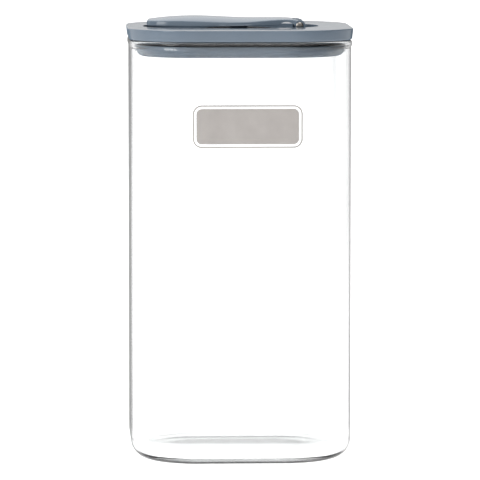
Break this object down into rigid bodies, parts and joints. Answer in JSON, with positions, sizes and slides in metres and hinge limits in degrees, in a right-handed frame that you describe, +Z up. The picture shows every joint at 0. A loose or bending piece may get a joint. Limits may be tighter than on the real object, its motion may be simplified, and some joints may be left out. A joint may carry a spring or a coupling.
{
  "type": "glass storage jar",
  "caption": "Square glass storage jar with rounded corners and a press-in plastic lid that has a hinged vent lever, a rim seal and a vent stopper.",
  "frame": {"origin": "centre of the jar's base, on the plane it stands on", "axes": "+Z up along the jar, +X towards the lever's hinge, -Y towards the front"},
  "size_m": [0.112, 0.112, 0.2204],
  "materials": {
    "glass": "clear, polished",
    "slate_plastic": "satin, fine moulded texture",
    "grey_silicone": "soft matte",
    "steel": "bright drawn wire"
  },
  "bodies": {
    "jar": {"glass_jar": "glass"},
    "lid": {"lid_cover": "slate_plastic", "lid_plug": "slate_plastic", "rim_seal": "grey_silicone", "vent_washer": "grey_silicone", "hinge_pin": "steel"},
    "lever": {"lever": "slate_plastic", "vent_stopper": "grey_silicone"}
  },
  "joints": [
    {"name": "lid_lift", "type": "slide", "parent": "jar", "child": "lid", "axis": [0, 0, 1], "range_m": [0, 0.06]},
    {"name": "lever_hinge", "type": "hinge", "parent": "lid", "child": "lever", "pos_m": [0.03, 0, 0.2155], "axis": [0, 1, 0], "range_deg": [0, 90]}
  ]
}
